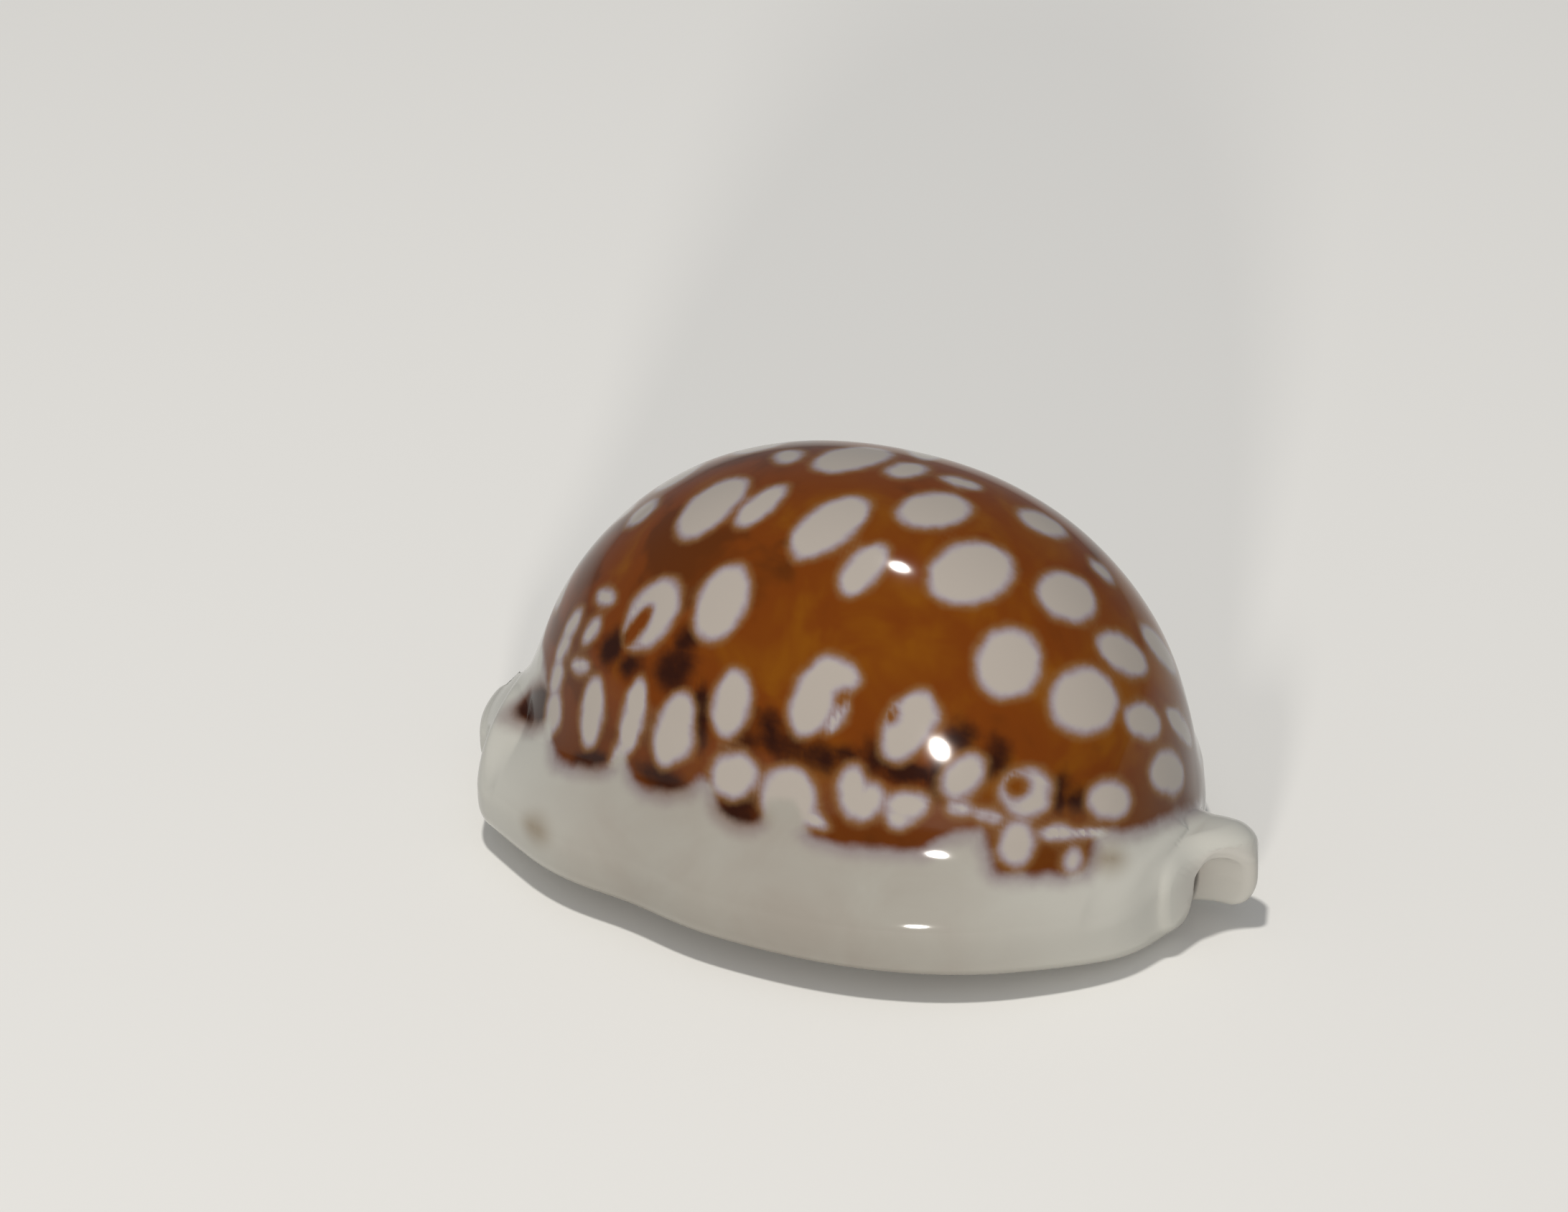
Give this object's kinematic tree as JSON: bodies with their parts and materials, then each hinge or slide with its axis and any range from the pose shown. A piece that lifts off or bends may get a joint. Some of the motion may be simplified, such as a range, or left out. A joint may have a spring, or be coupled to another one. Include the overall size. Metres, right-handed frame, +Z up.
{
  "type": "cowrie shell",
  "caption": "Glossy egg-shaped sea-snail shell with round pale spots on a brown back, a thick white rim and a narrow toothed slit along its flat base.",
  "frame": {"origin": "under the middle of the shell, on the plane that it rests on", "axes": "+X towards the posterior end, +Y towards the outer lip, +Z up through the crest of the back"},
  "size_m": [0.028, 0.0198, 0.0141],
  "materials": {
    "shell": "naturally polished shell, brown back, white rim and base"
  },
  "bodies": {
    "root": {"shell": "shell"}
  },
  "joints": []
}
